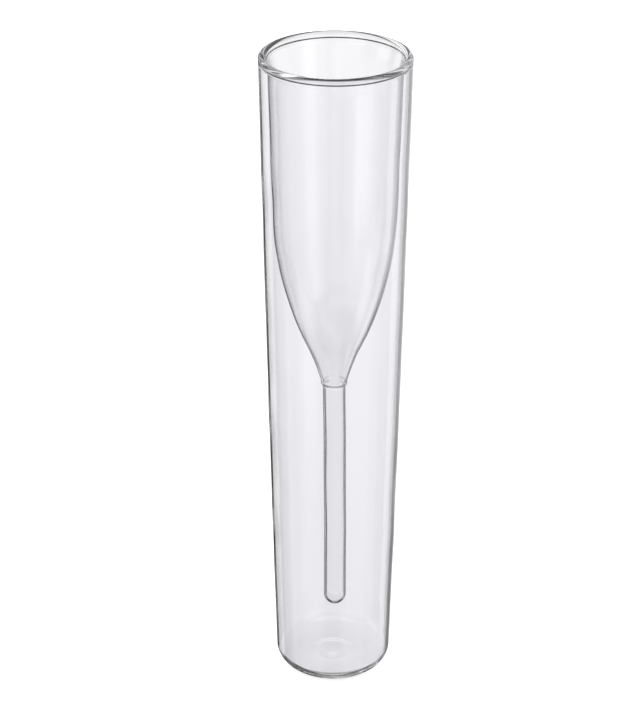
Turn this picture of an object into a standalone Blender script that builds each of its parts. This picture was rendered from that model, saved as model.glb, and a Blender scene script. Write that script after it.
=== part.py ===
"""Double-wall champagne flute in blown borosilicate glass.

A straight, tapered outer glass stands on a closed base. A flute bowl on a hollow stem hangs
inside it, and the two walls meet only at the rim, where they are fused into one bead over the
round top of the air space. The base rises in a shallow push-up, and a drop of glass closes the
vent hole at its middle.

Every piece is turned about +Z. The base rests on Z = 0 and lengths are in metres. An outline is
a list of (radius, height) points that starts at its highest outer point and runs down its outer
side. Pieces that are fused on the real glass keep a hairline gap here, so each is its own solid.
"""
import math

import bpy

# Driving dimensions
HEIGHT = 0.230
RIM_RADIUS = 0.025
FOOT_RADIUS = 0.0203
WALL = 0.001
INNER_WALL = 0.0006
FUSED_GAP = 0.0003

# Rim: a round bead with a groove below, where the air space between the walls ends
BEAD_THICKNESS = 0.0026
BEAD_HEIGHT = 0.00255
GROOVE_RADIUS = 0.0007

# Base of the outer shell
CORNER_RADIUS = 0.0065
BASE_THICKNESS = 0.0015
PUSH_UP_RADIUS = 0.010
PUSH_UP_RISE = 0.0007
CROWN_RADIUS = 0.0052
VENT_RADIUS = 0.002

# Inner glass, along the middle of its wall
FLARE_PULL = 0.2252
FLARE_BOTTOM = 0.2225
BOWL_RADIUS = 0.0216
BOWL_TAPER = math.radians(1.45)
SHOULDER_TOP = 0.1757
SHOULDER_RADIUS = 0.125
FUNNEL_SLOPE = math.radians(24.7)
NECK_RADIUS = 0.080
BOWL_BOTTOM = 0.11285

# Ring that joins the stem to the bowl
WELD_HEIGHT = 0.0011
WELD_WALL = 0.001

# Stem
STEM_RADIUS = 0.0039
STEM_WALL = 0.0005
STEM_TIP = 0.0228

# Drop that closes the vent
SEAL_RADIUS = 0.0048
SEAL_DOME = 0.0005
SEAL_BUTTON = 0.0002

# Straight steps in each curve
TURN_STEPS = 48
CROWN_STEPS = 10
GROOVE_STEPS = 6
CORNER_STEPS = 6
PUSH_UP_STEPS = 4
FLARE_STEPS = 5
SHOULDER_STEPS = 8
NECK_STEPS = 5
WELD_STEPS = 5
STEM_END_STEPS = 6
SEAL_STEPS = 5
WELD_DISTANCE = 0.00001

GLASS_COLOUR = (0.955, 0.953, 0.968, 1.0)
GLASS_ROUGHNESS = 0.02
GLASS_IOR = 1.47


def clear_scene():
    """Remove whatever objects the file opened with."""
    for item in list(bpy.data.objects):
        bpy.data.objects.remove(item, do_unlink=True)


def new_collection(name):
    group = bpy.data.collections.new(name)
    bpy.context.scene.collection.children.link(group)
    return group


def glass(name):
    """Clear glass, as a material of its own for one piece."""
    material = bpy.data.materials.new(name)
    material.use_nodes = True
    shader = material.node_tree.nodes["Principled BSDF"]
    shader.inputs["Base Color"].default_value = GLASS_COLOUR
    shader.inputs["Roughness"].default_value = GLASS_ROUGHNESS
    shader.inputs["Metallic"].default_value = 0.0
    shader.inputs["Transmission Weight"].default_value = 1.0
    shader.inputs["IOR"].default_value = GLASS_IOR
    return material


def turned(name, outline, group, closed=True):
    """Turn an outline about +Z. An open outline starts and ends on the axis."""
    mesh = bpy.data.meshes.new(name)
    count = len(outline)
    edges = [(i, i + 1) for i in range(count - 1)]
    if closed:
        edges.append((count - 1, 0))
    mesh.from_pydata([(radius, 0.0, height) for radius, height in outline], edges, [])
    piece = bpy.data.objects.new(name, mesh)
    group.objects.link(piece)
    screw = piece.modifiers.new("Turn", "SCREW")
    screw.axis = "Z"
    screw.angle = math.tau
    screw.steps = TURN_STEPS
    screw.render_steps = TURN_STEPS
    screw.use_merge_vertices = True
    screw.merge_threshold = WELD_DISTANCE
    screw.use_smooth_shade = True
    mesh.materials.append(glass(name + "_glass"))
    return piece


def ellipse_arc(centre, across, up, start, end, steps):
    """Points from start to end, angles counted in degrees from straight outward."""
    points = []
    for i in range(steps + 1):
        angle = math.radians(start + (end - start) * i / steps)
        points.append((centre[0] + across * math.cos(angle), centre[1] + up * math.sin(angle)))
    return points


def round_arc(centre, radius, start, end, steps):
    return ellipse_arc(centre, radius, radius, start, end, steps)


def cosine_step(start, end, steps, along):
    """Points on a half cosine wave between two points, level at both ends of the given axis."""
    points = []
    for i in range(steps + 1):
        t = i / steps
        ease = (1.0 - math.cos(math.pi * t)) / 2.0
        mix = (ease, t) if along == "height" else (t, ease)
        points.append(tuple(a + (b - a) * m for a, b, m in zip(start, end, mix)))
    return points


def bend(start, pull, end, steps):
    """A quadratic Bezier curve that leaves start towards pull and arrives at end from it."""
    points = []
    for i in range(steps + 1):
        t = i / steps
        weights = ((1.0 - t) ** 2, 2.0 * t * (1.0 - t), t * t)
        points.append(tuple(sum(w * p[k] for w, p in zip(weights, (start, pull, end))) for k in (0, 1)))
    return points


def offset_sides(midline, half):
    """The outer and the inner side of a wall, half a thickness to each side of its middle."""
    outer, inner = [], []
    last = len(midline) - 1
    for i, (radius, height) in enumerate(midline):
        before, after = midline[max(i - 1, 0)], midline[min(i + 1, last)]
        run, drop = after[0] - before[0], after[1] - before[1]
        length = math.hypot(run, drop)
        normal = (-drop / length, run / length)
        if i in (0, last):
            normal = (1.0, 0.0)
        outer.append((radius + half * normal[0], height + half * normal[1]))
        inner.append((radius - half * normal[0], height - half * normal[1]))
    return outer, inner


def shell_radius(height):
    """Outer radius of the tapered wall, widest where it meets the rim bead."""
    top = HEIGHT - BEAD_HEIGHT
    t = (height - CORNER_RADIUS) / (top - CORNER_RADIUS)
    return FOOT_RADIUS + (RIM_RADIUS - FOOT_RADIUS) * t


def make_outer_shell(group):
    """The outer glass: straight wall, rounded corner, resting ring, push-up and vent hole."""
    top = HEIGHT - BEAD_HEIGHT - FUSED_GAP
    corner = (FOOT_RADIUS - CORNER_RADIUS, CORNER_RADIUS)
    outline = [(shell_radius(top), top)]
    outline += round_arc(corner, CORNER_RADIUS, 0.0, -90.0, CORNER_STEPS)
    outline += cosine_step((PUSH_UP_RADIUS, 0.0), (CROWN_RADIUS, PUSH_UP_RISE), PUSH_UP_STEPS, "radius")
    crown_top = PUSH_UP_RISE + BASE_THICKNESS
    outline += [(VENT_RADIUS, PUSH_UP_RISE), (VENT_RADIUS, crown_top)]
    inside = (PUSH_UP_RADIUS, BASE_THICKNESS)
    outline += cosine_step((CROWN_RADIUS, crown_top), inside, PUSH_UP_STEPS, "radius")
    outline += ellipse_arc(
        corner, CORNER_RADIUS - WALL, CORNER_RADIUS - BASE_THICKNESS, -90.0, 0.0, CORNER_STEPS
    )
    outline.append((shell_radius(top) - WALL, top))
    turned("outer_shell", outline, group)


def make_rim_bead(group):
    """The fire-polished ring over both walls: a round top, and a groove between two joint faces."""
    half = BEAD_THICKNESS / 2.0
    centre = (RIM_RADIUS - half, HEIGHT - half)
    joint = HEIGHT - BEAD_HEIGHT
    crown = round_arc(centre, half, 180.0, 0.0, CROWN_STEPS)
    summit = CROWN_STEPS // 2
    groove = (RIM_RADIUS - WALL - GROOVE_RADIUS, joint)
    outline = crown[summit:] + [(RIM_RADIUS, joint)]
    outline += round_arc(groove, GROOVE_RADIUS, 0.0, 180.0, GROOVE_STEPS)
    outline += [(lip_radius() - INNER_WALL, joint)] + crown[:summit]
    turned("rim_bead", outline, group)


def lip_radius():
    """Outer radius of the inner glass where it meets the bead, past the groove."""
    return RIM_RADIUS - WALL - 2.0 * GROOVE_RADIUS


def bowl_midline():
    """Middle of the inner glass's wall: flare, straight side, shoulder arc and neck arc."""
    lip = (lip_radius() - INNER_WALL / 2.0, HEIGHT - BEAD_HEIGHT - FUSED_GAP)
    pull = (BOWL_RADIUS + (FLARE_PULL - FLARE_BOTTOM) * math.tan(BOWL_TAPER), FLARE_PULL)
    line = bend(lip, pull, (BOWL_RADIUS, FLARE_BOTTOM), FLARE_STEPS)
    side_end = BOWL_RADIUS - (FLARE_BOTTOM - SHOULDER_TOP) * math.tan(BOWL_TAPER)
    shoulder = (
        side_end - SHOULDER_RADIUS * math.cos(BOWL_TAPER),
        SHOULDER_TOP + SHOULDER_RADIUS * math.sin(BOWL_TAPER),
    )
    start, steepest = -math.degrees(BOWL_TAPER), -math.degrees(FUNNEL_SLOPE)
    line += round_arc(shoulder, SHOULDER_RADIUS, start, steepest, SHOULDER_STEPS)
    reach = SHOULDER_RADIUS + NECK_RADIUS
    neck = (
        shoulder[0] + reach * math.cos(FUNNEL_SLOPE),
        shoulder[1] - reach * math.sin(FUNNEL_SLOPE),
    )
    end = math.degrees(math.asin((BOWL_BOTTOM - neck[1]) / NECK_RADIUS))
    line += round_arc(neck, NECK_RADIUS, 180.0 + steepest, 180.0 - end, NECK_STEPS)[1:]
    return line


def make_flute_bowl(group):
    """The inner glass above the stem, one thin wall open at both ends."""
    outer, inner = offset_sides(bowl_midline(), INNER_WALL / 2.0)
    turned("flute_bowl", outer + inner[::-1], group)


def make_stem_weld(group):
    """The thickened ring between the bowl's lower end and the stem tube."""
    top = BOWL_BOTTOM - FUSED_GAP
    upper = (bowl_midline()[-1][0], top)
    lower = (STEM_RADIUS - STEM_WALL / 2.0, top - WELD_HEIGHT)
    midline = cosine_step(upper, lower, WELD_STEPS, "height")
    outer, inner = offset_sides(midline, WELD_WALL / 2.0)
    turned("stem_weld", outer + inner[::-1], group)


def make_stem_tube(group):
    """The hollow stem, open into the weld ring above and closed by a round end below."""
    top = BOWL_BOTTOM - WELD_HEIGHT - 2.0 * FUSED_GAP
    centre = (0.0, STEM_TIP + STEM_RADIUS)
    outline = [(STEM_RADIUS, top)]
    outline += round_arc(centre, STEM_RADIUS, 0.0, -90.0, STEM_END_STEPS)
    outline[-1] = (0.0, STEM_TIP)
    bore_radius = STEM_RADIUS - STEM_WALL
    bore = round_arc(centre, bore_radius, -90.0, 0.0, STEM_END_STEPS)
    bore[0] = (0.0, STEM_TIP + STEM_WALL)
    turned("stem_tube", bore + [(bore_radius, top)] + outline, group, closed=False)


def make_vent_seal(group):
    """The drop in the vent: a low dome above the base, a shank, and a flat button below it."""
    under = PUSH_UP_RISE - FUSED_GAP
    over = PUSH_UP_RISE + BASE_THICKNESS + FUSED_GAP
    shank = VENT_RADIUS - FUSED_GAP
    outline = ellipse_arc((0.0, over), SEAL_RADIUS, SEAL_DOME, 90.0, 0.0, SEAL_STEPS)
    outline[0] = (0.0, over + SEAL_DOME)
    outline += [(shank, over), (shank, under)]
    outline += ellipse_arc((0.0, under), SEAL_RADIUS, SEAL_BUTTON, 0.0, -90.0, SEAL_STEPS)
    outline[-1] = (0.0, under - SEAL_BUTTON)
    turned("vent_seal", outline, group, closed=False)


def main():
    clear_scene()
    group = new_collection("double_wall_flute")
    make_outer_shell(group)
    make_rim_bead(group)
    make_flute_bowl(group)
    make_stem_weld(group)
    make_stem_tube(group)
    make_vent_seal(group)


main()
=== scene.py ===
"""Double-wall champagne flute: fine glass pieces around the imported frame, on a pale studio floor.

The CAD nodes give each piece's place and size. Every piece is turned again here from the same
design, with fine steps, the faint unevenness of blown glass and clear glass material. A piece is
one closed mesh. Where two pieces are fused on the real glass, their joint faces lie 0.02 mm apart
and are fully transparent, so that light crosses them as it does in one body of glass.
Lengths are in metres.
"""

import math

import bpy
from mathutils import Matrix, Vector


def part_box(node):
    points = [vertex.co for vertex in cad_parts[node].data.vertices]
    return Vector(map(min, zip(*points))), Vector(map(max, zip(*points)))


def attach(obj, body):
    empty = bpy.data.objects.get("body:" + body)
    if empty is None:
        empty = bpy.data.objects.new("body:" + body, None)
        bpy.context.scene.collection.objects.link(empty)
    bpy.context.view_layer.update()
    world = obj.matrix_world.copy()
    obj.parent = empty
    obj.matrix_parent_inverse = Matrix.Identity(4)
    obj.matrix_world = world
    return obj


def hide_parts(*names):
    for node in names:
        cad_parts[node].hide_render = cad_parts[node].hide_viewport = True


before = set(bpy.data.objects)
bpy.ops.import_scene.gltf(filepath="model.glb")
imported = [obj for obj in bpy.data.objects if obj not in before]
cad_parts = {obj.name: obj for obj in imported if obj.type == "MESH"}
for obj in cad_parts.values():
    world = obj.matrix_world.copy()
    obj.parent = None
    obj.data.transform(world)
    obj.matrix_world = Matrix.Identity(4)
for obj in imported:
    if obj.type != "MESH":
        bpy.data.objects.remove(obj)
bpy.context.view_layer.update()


def joint_height(upper, lower):
    """Half way across the gap between two CAD nodes that are fused on the real glass."""
    return (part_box(upper)[0].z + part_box(lower)[1].z) / 2.0


# Where the frame says that the pieces are
RIM_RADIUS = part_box("rim_bead")[1].x
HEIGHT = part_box("rim_bead")[1].z
RIM_JOINT = joint_height("rim_bead", "outer_shell")
BOWL_JOINT = joint_height("flute_bowl", "stem_weld")
STEM_JOINT = joint_height("stem_weld", "stem_tube")
STEM_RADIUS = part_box("stem_tube")[1].x
STEM_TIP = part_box("stem_tube")[0].z
SEAL_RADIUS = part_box("vent_seal")[1].x

# Sizes that the boxes don't give
FOOT_RADIUS = 0.0204
WALL = 0.001
INNER_WALL = 0.0006
STEM_WALL = 0.0005
RIM_THICKNESS = 0.0026
GROOVE = 0.0007
CORNER_RADIUS = 0.0065
BASE_THICKNESS = 0.0015
PUSH_UP_RADIUS = 0.010
PUSH_UP_RISE = 0.0007
CROWN_RADIUS = 0.0052
VENT_RADIUS = 0.002
SEAL_DOME = 0.0003
SEAL_BUTTON = 0.00025
FLARE_PULL = 0.2252
FLARE_BOTTOM = 0.2225
BOWL_RADIUS = 0.0216
BOWL_TAPER = math.radians(1.45)
SHOULDER_TOP = 0.1757
SHOULDER_RADIUS = 0.125
FUNNEL_SLOPE = math.radians(24.7)
NECK_RADIUS = 0.080
WELD_WALL = 0.001
FUSED_GAP = 0.00002

LIP_RADIUS = RIM_RADIUS - WALL - 2.0 * GROOVE - INNER_WALL

# The steps in a whole turn about the axis and in each curve of an outline
TURN_STEPS = 240
SHELL_STEPS = 60
CORNER_STEPS = 24
PUSH_UP_STEPS = 12
BEAD_STEPS = 48
GROOVE_STEPS = 16
FLARE_STEPS = 24
SIDE_STEPS = 20
SHOULDER_STEPS = 40
NECK_STEPS = 20
WELD_STEPS = 16
STEM_STEPS = 30
TIP_STEPS = 24
SEAL_STEPS = 24
# A point that is nearer than this to the axis lies on it
AXIS_RADIUS = 1e-7
SHARP_EDGE = math.radians(40)

# Blown glass is never quite round or straight. Each wave is (times around, waves per metre, phase).
WAVES = ((2, 18.0, 0.4), (3, 31.0, 1.9), (1, 47.0, 3.1), (5, 23.0, 5.2))
WAVE_THINNING = 400.0
WAVE_EASE = 0.014
SHELL_WAVE = 0.00009
BOWL_WAVE = 0.00011
STEM_WAVE = 0.00005
# How far the waves stay clear of a joint, so that the pieces meet there
SHELL_CALM = 0.004
BOWL_CALM = 0.001
STEM_CALM = 0.002
# The outer wall stands out by this much, most of all at this part of the way down
SWELL = 0.00026
SWELL_PLACE = 0.65
# How far the stem's tip hangs to one side
STEM_LEAN = 0.0006

# Glass. A range is where something starts and where it is full.
REFRACTION = 1.47
OUTER_TINT = (0.984, 0.978, 1.0, 1.0)
INNER_TINT = (0.998, 0.9975, 1.0, 1.0)
# Painted shade: a wall seen edge on darkens to these colours, partly for the long way through it
PAINTED_EDGE_SHADE = (0.28, 0.262, 0.292, 1.0)
RIM_PAINTED_EDGE_SHADE = (0.72, 0.715, 0.73, 1.0)
STEM_PAINTED_EDGE_SHADE = (0.088, 0.08, 0.094, 1.0)
OUTER_EDGE_SHADE_RANGE = (0.68, 0.98)
INNER_EDGE_SHADE_RANGE = (0.6, 0.95)
RIM_EDGE_SHADE_RANGE = (0.6, 1.0)
STEM_EDGE_SHADE_RANGE = (0.5, 0.64)
DRAWN_LINES = (90.0, 90.0, 7.0)
DRAWN_DETAIL = 2.0
DRAWN_STRENGTH = 0.35
DRAWN_DEPTH = 0.0001
CLOUDS = (35.0, 35.0, 22.0)
CLOUD_DETAIL = 3.0
DENSER = 0.993
DENSER_RANGE = (0.35, 0.65)
HAZE = 0.012
HAZE_RANGE = (0.45, 0.75)
# Where a ray is still inside the walls after this many turns, the glass glows with painted light:
# streaked, dark beside bright, and the bright streaks fade from the left of the glass to the right
TRAPPED_DEPTH = 64
PAINTED_GLOW_DARK = 0.03
PAINTED_GLOW_LEFT = 0.65
PAINTED_GLOW_RIGHT = 0.08
GLOW_STREAK_RANGE = (0.4, 0.6)
# How many joint faces light may cross
TRANSPARENT_DEPTH = 40

FLOOR_REACH = 20.0
FLOOR_DROP = 0.0002
FLOOR_COLOUR = (0.9, 0.9, 0.9, 1.0)
FLOOR_GLOW_COLOUR = (1.0, 1.0, 1.0, 1.0)
FLOOR_GLOW = 0.7

# The studio. Azimuths are in degrees clockwise from +Y, seen from above, and heights in degrees
# above the horizon. A pair of angles is where a change starts and where it is complete.
# The room is even to the camera and on the floor, and uneven to light that has met the glass.
ROOM_LIGHT = 1.25
LEFT_LIGHT = 0.62
RIGHT_LIGHT = 0.92
# Each bright backdrop: the azimuth of its middle, half its width and how far down it reaches
BACKDROPS = ((2.5, 16.5, -80.0), (-45.0, 13.5, -42.0), (-90.0, 13.5, -16.0), (135.0, 13.5, -29.0))
BACKDROP_SIDE_FADE = 4.5
BACKDROP_FOOT_FADE = 4.0
BACKDROP_LIGHT_LOW = 1.05
BACKDROP_LIGHT_HIGH = 1.3
BACKDROP_HEIGHTS = (-38.0, -16.0)
# Dark flags on both sides of each backdrop, out to these angles from its middle
FLAG_ANGLES = (50.0, 36.0)
FLAG_LEFT = 0.06
FLAG_RIGHT_LOW = 0.3
FLAG_RIGHT_HIGH = 0.62
FLAG_HEIGHTS = (-36.0, -24.0)
FLAG_BLEND = 0.6
CEILING_LIGHT = 0.03
CEILING_HEIGHTS = (6.5, 10.5)
# Light that has met more surfaces than this has gone through the glass. Only this light meets the
# dark edge of the table, and it misses the lamps.
CROSSED_DEPTH = 3.5
TABLE_EDGE_LIGHT = 0.05
TABLE_EDGE_HEIGHTS = (-47.0, -57.0)
FLOOR_LIGHT = 1.0
FLOOR_HEIGHTS = (-73.0, -78.0)
# A lamp high on each side, and a wide soft light in front
LAMP_AZIMUTHS = (100.0, -100.0)
LAMP_ANGLES = (26.0, 10.0)
LAMP_LIGHT = 3.0
LAMP_BOTTOM = (28.0, 36.0)
LAMP_TOP = (66.0, 56.0)
FRONT_AZIMUTH = 180.0
FRONT_ANGLES = (62.0, 30.0)
FRONT_LIGHT = 1.6
FRONT_BOTTOM = (11.0, 24.0)
FRONT_TOP = (60.0, 34.0)
# Lights that only reflections see: the azimuth, the pair of angles from it, the brightness
GLOSS_LIGHTS = (
    (140.0, 30.0, 4.0, 1.2),
    (-140.0, 30.0, 4.0, 1.2),
    (95.0, 40.0, 12.0, 0.7),
    (-95.0, 40.0, 12.0, 0.3),
)
GLOSS_BOTTOM = (-70.0, -60.0)
GLOSS_FLOOR = 0.3

# The camera, with its sensor and lens in millimetres and its angles in degrees
SENSOR = 36.0
LENS = 111.55456
CAMERA_PLACE = (0.0, -0.6732, 0.4617)
CAMERA_DOWN = 26.787
CAMERA_TURN = 0.605
CAMERA_NEAR = 0.01
CAMERA_FAR = 50.0


def ellipse_arc(centre, across, up, start, end, steps):
    """Points from start to end, angles counted in degrees from straight outward."""
    points = []
    for i in range(steps + 1):
        angle = math.radians(start + (end - start) * i / steps)
        points.append((centre[0] + across * math.cos(angle), centre[1] + up * math.sin(angle)))
    return points


def round_arc(centre, radius, start, end, steps):
    return ellipse_arc(centre, radius, radius, start, end, steps)


def cosine_step(start, end, steps, along):
    """Points on a half cosine wave between two points, level at both ends of the given axis."""
    points = []
    for i in range(steps + 1):
        t = i / steps
        ease = (1.0 - math.cos(math.pi * t)) / 2.0
        mix = (ease, t) if along == "height" else (t, ease)
        points.append(tuple(a + (b - a) * m for a, b, m in zip(start, end, mix)))
    return points


def straight(start, end, steps):
    return [tuple(a + (b - a) * i / steps for a, b in zip(start, end)) for i in range(steps + 1)]


def bend(start, pull, end, steps):
    """A quadratic Bezier curve that leaves start towards pull and arrives at end from it."""
    points = []
    for i in range(steps + 1):
        t = i / steps
        weights = ((1.0 - t) ** 2, 2.0 * t * (1.0 - t), t * t)
        points.append(tuple(sum(w * p[k] for w, p in zip(weights, (start, pull, end))) for k in (0, 1)))
    return points


def swollen(upper, lower, steps):
    """Points on a nearly straight line that stands out by SWELL, mostly in its lower part."""
    radius, height = (a + (b - a) * SWELL_PLACE for a, b in zip(upper, lower))
    return bend(upper, (radius + 2.0 * SWELL, height), lower, steps)


def offset_sides(midline, half):
    """The outer and the inner side of a wall, half a thickness to each side of its middle."""
    outer, inner = [], []
    last = len(midline) - 1
    for i, (radius, height) in enumerate(midline):
        before, after = midline[max(i - 1, 0)], midline[min(i + 1, last)]
        run, drop = after[0] - before[0], after[1] - before[1]
        length = math.hypot(run, drop)
        normal = (-drop / length, run / length)
        if i in (0, last):
            normal = (1.0, 0.0)
        outer.append((radius + half * normal[0], height + half * normal[1]))
        inner.append((radius - half * normal[0], height - half * normal[1]))
    return outer, inner


def unevenness(radius, height, angle, span):
    """Between -1 and 1 along span, and 0 at its ends, where a piece has to meet its neighbours."""
    depth = min(height - span[0], span[1] - height) / WAVE_EASE
    depth = max(0.0, min(1.0, depth))
    waves = 0.0
    for around, along, phase in WAVES:
        turn = around * angle + math.tau * along * height
        waves += math.sin(turn + phase + WAVE_THINNING * radius)
    return waves / len(WAVES) * depth * depth * (3.0 - 2.0 * depth)


def lathe(name, outline, fused=(), closed=True, uneven=0.0, span=(0.0, 0.0)):
    """Turn an outline about +Z. fused lists the outline's edges that lie on a fused joint.

    The radius varies by up to uneven within span, the lowest and highest height of the waves.
    An outline that starts and ends on the axis isn't closed.
    """
    count = len(outline)
    rows = []
    vertices = []
    for radius, height in outline:
        if radius < AXIS_RADIUS:
            rows.append([len(vertices)] * TURN_STEPS)
            vertices.append((0.0, 0.0, height))
            continue
        rows.append(list(range(len(vertices), len(vertices) + TURN_STEPS)))
        for k in range(TURN_STEPS):
            angle = math.tau * k / TURN_STEPS
            reach = radius + uneven * unevenness(radius, height, angle, span)
            vertices.append((reach * math.cos(angle), reach * math.sin(angle), height))
    faces, slots = [], []
    edges = [(i, i + 1) for i in range(count - 1)]
    if closed:
        edges.append((count - 1, 0))
    for i, j in edges:
        a, b = rows[i], rows[j]
        for k in range(TURN_STEPS):
            n = (k + 1) % TURN_STEPS
            face = [a[k], b[k], b[n], a[n]]
            face = [v for m, v in enumerate(face) if v != face[m - 1]]
            if len(face) < 3:
                continue
            faces.append(face)
            slots.append(1 if i in fused else 0)
    mesh = bpy.data.meshes.new(name)
    mesh.from_pydata(vertices, [], faces)
    mesh.validate()
    mesh.shade_smooth()
    for polygon, slot in zip(mesh.polygons, slots):
        polygon.material_index = slot
    mesh.set_sharp_from_angle(angle=SHARP_EDGE)
    piece = bpy.data.objects.new(name, mesh)
    bpy.context.scene.collection.objects.link(piece)
    return piece


class NodeMaths:
    """Short names for the math nodes of one node tree."""

    def __init__(self, tree):
        self.nodes = tree.nodes
        self.links = tree.links

    def put(self, value, socket):
        if isinstance(value, (int, float)):
            socket.default_value = value
        else:
            self.links.new(value, socket)

    def maths(self, operation, *values):
        node = self.nodes.new("ShaderNodeMath")
        node.operation = operation
        for value, socket in zip(values, node.inputs):
            self.put(value, socket)
        return node.outputs[0]

    def fade(self, value, start, end, low=0.0, high=1.0):
        """low where value is at start, high where it is at end, with a smooth step between."""
        node = self.nodes.new("ShaderNodeMapRange")
        node.interpolation_type = "SMOOTHSTEP"
        for item, socket in zip((value, start, end, low, high), node.inputs):
            self.put(item, socket)
        return node.outputs[0]

    def noise(self, coords, stretch, detail):
        """Noise whose features are stretched by (x, y, z) counts per metre."""
        scale = self.nodes.new("ShaderNodeMapping")
        scale.inputs["Scale"].default_value = stretch
        self.links.new(coords, scale.inputs["Vector"])
        node = self.nodes.new("ShaderNodeTexNoise")
        node.inputs["Scale"].default_value = 1.0
        node.inputs["Detail"].default_value = detail
        self.links.new(scale.outputs[0], node.inputs["Vector"])
        return node.outputs["Fac"]

    def mix(self, factor, first, second):
        node = self.nodes.new("ShaderNodeMix")
        node.data_type = "RGBA"
        self.put(factor, node.inputs["Factor"])
        for value, socket in zip((first, second), (node.inputs["A"], node.inputs["B"])):
            if isinstance(value, tuple):
                socket.default_value = value
            else:
                self.links.new(value, socket)
        return node.outputs["Result"]


def painted_trapped_glow(kit, coords, drawn):
    """The strength of a painted glow that stands for light still inside the glass when the renderer
    gives up on it.
    """
    path = kit.nodes.new("ShaderNodeLightPath")
    trapped = kit.maths("GREATER_THAN", path.outputs["Ray Depth"], TRAPPED_DEPTH - 0.5)
    across = kit.nodes.new("ShaderNodeSeparateXYZ")
    kit.links.new(coords, across.inputs[0])
    # Painted light: the glow is brighter on the left of the glass than on the right
    brightest = kit.fade(across.outputs["X"], -RIM_RADIUS, RIM_RADIUS, PAINTED_GLOW_LEFT, PAINTED_GLOW_RIGHT)
    streaks = kit.fade(drawn, *GLOW_STREAK_RANGE, PAINTED_GLOW_DARK, brightest)
    return kit.maths("MULTIPLY", trapped, streaks)


def glass_material(name, colour, edge, edge_shade_range):
    """Clear blown glass: drawn lines along the glass, a faint haze, painted edge shade, a painted glow.

    The edge shade is painted: it darkens a wall seen edge on, partly for the long way through the glass
    and partly as painted shade for the dark outlines that refraction gives. Its range is in values of
    Layer Weight's Facing.
    """
    material = bpy.data.materials.new(name)
    material.use_nodes = True
    material.cycles.emission_sampling = "NONE"
    tree = material.node_tree
    kit = NodeMaths(tree)
    shader = tree.nodes["Principled BSDF"]
    shader.inputs["Transmission Weight"].default_value = 1.0
    shader.inputs["IOR"].default_value = REFRACTION
    coords = tree.nodes.new("ShaderNodeTexCoord").outputs["Object"]

    drawn = kit.noise(coords, DRAWN_LINES, DRAWN_DETAIL)
    cloud = kit.noise(coords, CLOUDS, CLOUD_DETAIL)
    denser = tuple(channel * DENSER for channel in colour[:3]) + (1.0,)
    body = kit.mix(kit.fade(cloud, *DENSER_RANGE), colour, denser)
    weight = tree.nodes.new("ShaderNodeLayerWeight")
    weight.inputs["Blend"].default_value = 0.5
    # Painted shade: the colour darkens towards the edge colour where a wall is seen edge on
    rim = kit.fade(weight.outputs["Facing"], *edge_shade_range)
    tree.links.new(kit.mix(rim, body, edge), shader.inputs["Base Color"])
    # Painted glow: the glass gives off light where a ray is still trapped in the walls
    tree.links.new(painted_trapped_glow(kit, coords, drawn), shader.inputs["Emission Strength"])
    tree.links.new(kit.fade(cloud, *HAZE_RANGE, 0.0, HAZE), shader.inputs["Roughness"])
    bump = tree.nodes.new("ShaderNodeBump")
    bump.inputs["Strength"].default_value = DRAWN_STRENGTH
    bump.inputs["Distance"].default_value = DRAWN_DEPTH
    tree.links.new(drawn, bump.inputs["Height"])
    tree.links.new(bump.outputs["Normal"], shader.inputs["Normal"])
    return material


def fused_material():
    """Nothing to see: the face between two pieces that are one body of glass on the real thing."""
    material = bpy.data.materials.new("fused_joint")
    material.use_nodes = True
    shader = material.node_tree.nodes["Principled BSDF"]
    shader.inputs["Alpha"].default_value = 0.0
    return material


OUTER_GLASS = glass_material("outer_glass", OUTER_TINT, PAINTED_EDGE_SHADE, OUTER_EDGE_SHADE_RANGE)
INNER_GLASS = glass_material("inner_glass", INNER_TINT, PAINTED_EDGE_SHADE, INNER_EDGE_SHADE_RANGE)
STEM_GLASS = glass_material("stem_glass", INNER_TINT, STEM_PAINTED_EDGE_SHADE, STEM_EDGE_SHADE_RANGE)
RIM_GLASS = glass_material("rim_glass", OUTER_TINT, RIM_PAINTED_EDGE_SHADE, RIM_EDGE_SHADE_RANGE)
JOINT = fused_material()


def place(piece, node, glass):
    piece.data.materials.append(glass)
    piece.data.materials.append(JOINT)
    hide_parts(node)
    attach(piece, "root")


def make_outer_shell():
    top = RIM_JOINT - FUSED_GAP / 2.0
    corner = (FOOT_RADIUS - CORNER_RADIUS, CORNER_RADIUS)
    crown_top = PUSH_UP_RISE + BASE_THICKNESS
    outline = swollen((RIM_RADIUS, top), (FOOT_RADIUS, CORNER_RADIUS), SHELL_STEPS)
    outline += round_arc(corner, CORNER_RADIUS, 0.0, -90.0, CORNER_STEPS)[1:]
    under = ((PUSH_UP_RADIUS, 0.0), (CROWN_RADIUS, PUSH_UP_RISE))
    outline += cosine_step(*under, PUSH_UP_STEPS, "radius")
    vent = len(outline)
    outline += [(SEAL_RADIUS, PUSH_UP_RISE), (VENT_RADIUS, PUSH_UP_RISE)]
    outline += [(VENT_RADIUS, crown_top), (SEAL_RADIUS, crown_top)]
    over = ((CROWN_RADIUS, crown_top), (PUSH_UP_RADIUS, BASE_THICKNESS))
    outline += cosine_step(*over, PUSH_UP_STEPS, "radius")
    across, up = CORNER_RADIUS - WALL, CORNER_RADIUS - BASE_THICKNESS
    outline += ellipse_arc(corner, across, up, -90.0, 0.0, CORNER_STEPS)
    inside = swollen((RIM_RADIUS - WALL, top), (FOOT_RADIUS - WALL, CORNER_RADIUS), SHELL_STEPS)
    outline += inside[-2::-1]
    fused = (vent, vent + 1, vent + 2, len(outline) - 1)
    span = (CORNER_RADIUS, RIM_JOINT - SHELL_CALM)
    piece = lathe("outer_shell_glass", outline, fused, uneven=SHELL_WAVE, span=span)
    place(piece, "outer_shell", OUTER_GLASS)


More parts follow.
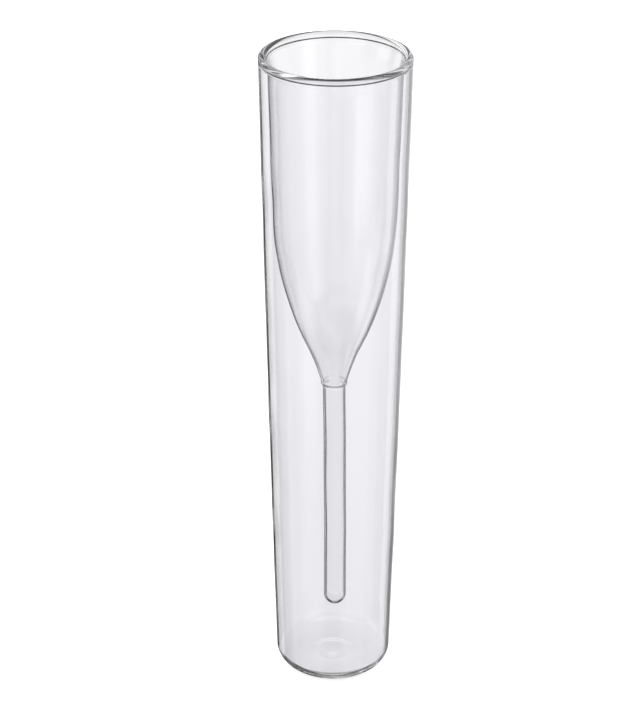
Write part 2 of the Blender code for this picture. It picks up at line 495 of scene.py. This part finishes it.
def make_rim_bead():
    half = RIM_THICKNESS / 2.0
    centre = (RIM_RADIUS - half, HEIGHT - half)
    joint = RIM_JOINT + FUSED_GAP / 2.0
    crown = round_arc(centre, half, 180.0, 0.0, BEAD_STEPS)
    top = BEAD_STEPS // 2
    outline = crown[top:] + [(RIM_RADIUS, joint)]
    outer_joint = len(outline) - 1
    outline += round_arc((RIM_RADIUS - WALL - GROOVE, joint), GROOVE, 0.0, 180.0, GROOVE_STEPS)
    inner_joint = len(outline) - 1
    outline += [(LIP_RADIUS, joint)] + crown[:top]
    piece = lathe("rim_bead_glass", outline, fused=(outer_joint, inner_joint))
    place(piece, "rim_bead", RIM_GLASS)


def bowl_midline():
    """The middle of the inner wall, from the lip down to the weld."""
    lip = (LIP_RADIUS + INNER_WALL / 2.0, RIM_JOINT - FUSED_GAP / 2)
    side = (BOWL_RADIUS, FLARE_BOTTOM)
    pull = (BOWL_RADIUS + (FLARE_PULL - FLARE_BOTTOM) * math.tan(BOWL_TAPER), FLARE_PULL)
    line = bend(lip, pull, side, FLARE_STEPS)
    side_end = BOWL_RADIUS - (FLARE_BOTTOM - SHOULDER_TOP) * math.tan(BOWL_TAPER)
    line += straight(side, (side_end, SHOULDER_TOP), SIDE_STEPS)[1:-1]
    shoulder = (
        side_end - SHOULDER_RADIUS * math.cos(BOWL_TAPER),
        SHOULDER_TOP + SHOULDER_RADIUS * math.sin(BOWL_TAPER),
    )
    start, steepest = -math.degrees(BOWL_TAPER), -math.degrees(FUNNEL_SLOPE)
    line += round_arc(shoulder, SHOULDER_RADIUS, start, steepest, SHOULDER_STEPS)
    reach = SHOULDER_RADIUS + NECK_RADIUS
    neck = (
        shoulder[0] + reach * math.cos(FUNNEL_SLOPE),
        shoulder[1] - reach * math.sin(FUNNEL_SLOPE),
    )
    bottom = BOWL_JOINT + FUSED_GAP / 2
    end = math.degrees(math.asin((bottom - neck[1]) / NECK_RADIUS))
    line += round_arc(neck, NECK_RADIUS, 180.0 + steepest, 180.0 - end, NECK_STEPS)[1:]
    return line


def make_flute_bowl():
    outer, inner = offset_sides(bowl_midline(), INNER_WALL / 2.0)
    outline = outer + inner[::-1]
    fused = (len(outer) - 1, len(outline) - 1)
    span = (BOWL_JOINT + BOWL_CALM, FLARE_BOTTOM)
    piece = lathe("flute_bowl_glass", outline, fused, uneven=BOWL_WAVE, span=span)
    place(piece, "flute_bowl", INNER_GLASS)


def make_stem_weld():
    upper = (bowl_midline()[-1][0], BOWL_JOINT - FUSED_GAP / 2)
    lower = (STEM_RADIUS - STEM_WALL / 2.0, STEM_JOINT + FUSED_GAP / 2)
    outer, inner = offset_sides(cosine_step(upper, lower, WELD_STEPS, "height"), WELD_WALL / 2.0)
    outline = outer + inner[::-1]
    piece = lathe("stem_weld_glass", outline, fused=(len(outer) - 1, len(outline) - 1))
    place(piece, "stem_weld", INNER_GLASS)


def make_stem_tube():
    top = STEM_JOINT - FUSED_GAP / 2
    centre = (0.0, STEM_TIP + STEM_RADIUS)
    outside = straight((STEM_RADIUS, top), (STEM_RADIUS, centre[1]), STEM_STEPS)
    outside += round_arc(centre, STEM_RADIUS, 0.0, -90.0, TIP_STEPS)[1:]
    outside[-1] = (0.0, STEM_TIP)
    bore_radius = STEM_RADIUS - STEM_WALL
    bore = round_arc(centre, bore_radius, -90.0, 0.0, TIP_STEPS)
    bore[0] = (0.0, STEM_TIP + STEM_WALL)
    bore += straight((bore_radius, centre[1]), (bore_radius, top), STEM_STEPS)[1:]
    fused = (len(bore) - 1,)
    span = (centre[1], STEM_JOINT - STEM_CALM)
    piece = lathe("stem_tube_glass", bore + outside, fused, closed=False, uneven=STEM_WAVE, span=span)
    for vertex in piece.data.vertices:
        above_tip = (vertex.co.z - STEM_TIP) / (top - STEM_TIP)
        vertex.co.x += STEM_LEAN * (1.0 - above_tip * above_tip)
    place(piece, "stem_tube", STEM_GLASS)


def make_vent_seal():
    over = PUSH_UP_RISE + BASE_THICKNESS + FUSED_GAP
    under = PUSH_UP_RISE - FUSED_GAP
    plug_radius = VENT_RADIUS - FUSED_GAP
    dome_top = (0.0, PUSH_UP_RISE + BASE_THICKNESS + SEAL_DOME)
    button_bottom = (0.0, PUSH_UP_RISE - SEAL_BUTTON)
    outline = cosine_step(dome_top, (SEAL_RADIUS, over), SEAL_STEPS, "radius")
    first = len(outline) - 1
    outline += [(plug_radius, over), (plug_radius, under)]
    outline += cosine_step((SEAL_RADIUS, under), button_bottom, SEAL_STEPS, "radius")
    fused = (first, first + 1, first + 2)
    piece = lathe("vent_seal_glass", outline, fused, closed=False)
    place(piece, "vent_seal", OUTER_GLASS)


def make_floor():
    mesh = bpy.data.meshes.new("floor")
    corners = [(x * FLOOR_REACH, y * FLOOR_REACH, 0.0) for x, y in ((-1, -1), (1, -1), (1, 1), (-1, 1))]
    mesh.from_pydata(corners, [], [(0, 1, 2, 3)])
    floor = bpy.data.objects.new("floor", mesh)
    bpy.context.scene.collection.objects.link(floor)
    floor.location.z = -FLOOR_DROP
    material = bpy.data.materials.new("floor_paper")
    material.use_nodes = True
    shader = material.node_tree.nodes["Principled BSDF"]
    shader.inputs["Base Color"].default_value = FLOOR_COLOUR
    shader.inputs["Roughness"].default_value = 1.0
    shader.inputs["Specular IOR Level"].default_value = 0.0
    shader.inputs["Emission Color"].default_value = FLOOR_GLOW_COLOUR
    shader.inputs["Emission Strength"].default_value = FLOOR_GLOW
    mesh.materials.append(material)
    floor.visible_transmission = False
    floor.visible_glossy = False


def make_world():
    world = bpy.data.worlds.new("studio")
    bpy.context.scene.world = world
    world.use_nodes = True
    world.cycles.sampling_method = "NONE"
    tree = world.node_tree
    tree.nodes.clear()
    kit = NodeMaths(tree)
    maths, fade = kit.maths, kit.fade
    coords = tree.nodes.new("ShaderNodeTexCoord")
    split = tree.nodes.new("ShaderNodeSeparateXYZ")
    tree.links.new(coords.outputs["Generated"], split.inputs[0])
    x, y, z = split.outputs
    level = maths("SQRT", maths("ADD", maths("MULTIPLY", x, x), maths("MULTIPLY", y, y)))

    def facing(azimuth):
        """Cosine of the angle between a direction's azimuth and the given one."""
        angle = math.radians(azimuth)
        along = maths("MULTIPLY_ADD", y, math.cos(angle), maths("MULTIPLY", x, math.sin(angle)))
        return maths("DIVIDE", along, level)

    def cosine(degrees):
        return math.cos(math.radians(degrees))

    def beam(azimuth, start, full, light=1.0):
        """Nothing beyond start degrees to each side of an azimuth, light within full degrees."""
        return fade(facing(azimuth), cosine(start), cosine(full), 0.0, light)

    def height(start, full, low=0.0, high=1.0):
        """low at the first of two heights above the horizon and high at the second."""
        return fade(z, math.sin(math.radians(start)), math.sin(math.radians(full)), low, high)

    def blend(factor, first, second):
        return maths("MULTIPLY_ADD", factor, maths("SUBTRACT", second, first), first)

    sides = fade(facing(90.0), -1.0, 1.0, LEFT_LIGHT, RIGHT_LIGHT)
    flag_right = height(*FLAG_HEIGHTS, FLAG_RIGHT_LOW, FLAG_RIGHT_HIGH)
    flags = fade(facing(90.0), -FLAG_BLEND, FLAG_BLEND, FLAG_LEFT, flag_right)
    backdrop = height(*BACKDROP_HEIGHTS, BACKDROP_LIGHT_LOW, BACKDROP_LIGHT_HIGH)
    open_room, panels = 1.0, 0.0
    for azimuth, half, lowest in BACKDROPS:
        reach = height(lowest - BACKDROP_FOOT_FADE, lowest + BACKDROP_FOOT_FADE)
        flagged = maths("MULTIPLY", reach, beam(azimuth, *FLAG_ANGLES))
        open_room = maths("MULTIPLY", open_room, maths("SUBTRACT", 1.0, flagged))
        panel = beam(azimuth, half + BACKDROP_SIDE_FADE, half - BACKDROP_SIDE_FADE, backdrop)
        panels = maths("MAXIMUM", panels, maths("MULTIPLY", panel, reach))
    around = maths("MULTIPLY", blend(open_room, flags, 1.0), sides)
    around = maths("MAXIMUM", around, panels)
    around = maths("MULTIPLY", around, height(*CEILING_HEIGHTS, 1.0, CEILING_LIGHT))
    path = tree.nodes.new("ShaderNodeLightPath")
    crossed = maths("GREATER_THAN", path.outputs["Ray Depth"], CROSSED_DEPTH)
    edge = maths("MULTIPLY", crossed, height(*TABLE_EDGE_HEIGHTS))
    around = blend(edge, around, TABLE_EDGE_LIGHT)
    seen = blend(height(*FLOOR_HEIGHTS), around, FLOOR_LIGHT)

    lamps = maths("MULTIPLY", height(*LAMP_BOTTOM), height(*LAMP_TOP))
    lamps = maths("MULTIPLY", lamps, maths("SUBTRACT", 1.0, crossed))
    for azimuth in LAMP_AZIMUTHS:
        lamp = beam(azimuth, *LAMP_ANGLES, LAMP_LIGHT)
        seen = maths("MULTIPLY_ADD", lamp, lamps, seen)

    front = beam(FRONT_AZIMUTH, *FRONT_ANGLES, FRONT_LIGHT)
    front = maths("MULTIPLY", front, height(*FRONT_BOTTOM))
    front = maths("MULTIPLY", front, height(*FRONT_TOP))
    seen = maths("ADD", seen, front)

    gloss = 0.0
    for azimuth, start, full, light in GLOSS_LIGHTS:
        gloss = maths("ADD", gloss, beam(azimuth, start, full, light))
    gloss = maths("MULTIPLY", gloss, height(*GLOSS_BOTTOM))
    gloss = maths("ADD", gloss, height(*GLOSS_BOTTOM[::-1], 0.0, GLOSS_FLOOR))
    gloss = maths("ADD", gloss, seen)

    strength = blend(path.outputs["Is Reflection Ray"], seen, gloss)
    direct = maths("MAXIMUM", path.outputs["Is Camera Ray"], path.outputs["Is Diffuse Ray"])
    strength = blend(direct, strength, ROOM_LIGHT)
    light = tree.nodes.new("ShaderNodeBackground")
    tree.links.new(strength, light.inputs["Strength"])
    out = tree.nodes.new("ShaderNodeOutputWorld")
    tree.links.new(light.outputs[0], out.inputs[0])


def make_camera():
    data = bpy.data.cameras.new("camera")
    camera = bpy.data.objects.new("camera", data)
    bpy.context.scene.collection.objects.link(camera)
    data.sensor_width = SENSOR
    data.lens = LENS
    camera.location = CAMERA_PLACE
    camera.rotation_euler = (math.radians(90.0 - CAMERA_DOWN), 0.0, math.radians(CAMERA_TURN))
    data.clip_start = CAMERA_NEAR
    data.clip_end = CAMERA_FAR
    bpy.context.scene.camera = camera


make_outer_shell()
make_rim_bead()
make_flute_bowl()
make_stem_weld()
make_stem_tube()
make_vent_seal()
make_floor()
make_world()
make_camera()

scene = bpy.context.scene
scene.view_settings.view_transform = "Standard"
scene.cycles.max_bounces = TRAPPED_DEPTH
scene.cycles.transmission_bounces = TRAPPED_DEPTH
scene.cycles.glossy_bounces = TRAPPED_DEPTH
scene.cycles.transparent_max_bounces = TRANSPARENT_DEPTH
